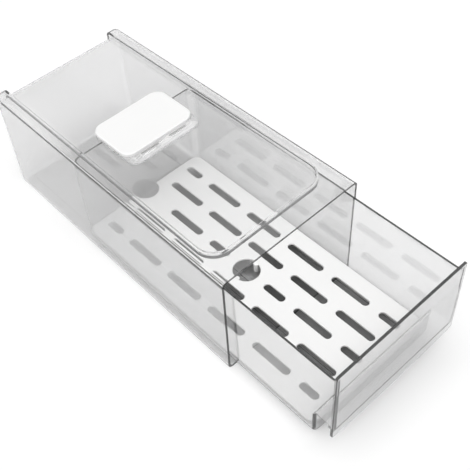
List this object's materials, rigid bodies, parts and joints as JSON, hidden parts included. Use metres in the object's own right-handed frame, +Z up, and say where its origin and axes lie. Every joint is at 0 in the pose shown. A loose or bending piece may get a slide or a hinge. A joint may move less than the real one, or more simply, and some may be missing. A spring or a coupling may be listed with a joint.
{
  "type": "fridge drawer organizer",
  "caption": "Clear open-fronted case with stacking rails, a pull-out clear drawer with a slotted white drain tray in it, and a sliding air vent in the case's top.",
  "frame": {"origin": "middle of the case's flat base, on the surface that it stands on", "axes": "+Z up, +Y from the drawer's front towards the case's closed rear, +X across the width"},
  "size_m": [0.1484, 0.4221, 0.115],
  "materials": {
    "clear_plastic": "clear and glossy",
    "white_plastic": "satin white"
  },
  "bodies": {
    "case": {"outer_case": "clear_plastic", "vent_frame": "clear_plastic"},
    "drawer_body": {"drawer": "clear_plastic"},
    "tray_body": {"drain_tray": "white_plastic"},
    "slider_body": {"vent_slider": "white_plastic"}
  },
  "joints": [
    {"name": "drawer_slide", "type": "slide", "parent": "case", "child": "drawer_body", "axis": [0, -1, 0], "range_m": [-0.1085, 0.15]},
    {"name": "drain_tray_lift", "type": "slide", "parent": "drawer_body", "child": "tray_body", "axis": [0, 0, 1], "range_m": [0, 0.06]},
    {"name": "vent_slide", "type": "slide", "parent": "case", "child": "slider_body", "axis": [0, -0.9999, 0.0161], "range_m": [0, 0.009]}
  ]
}
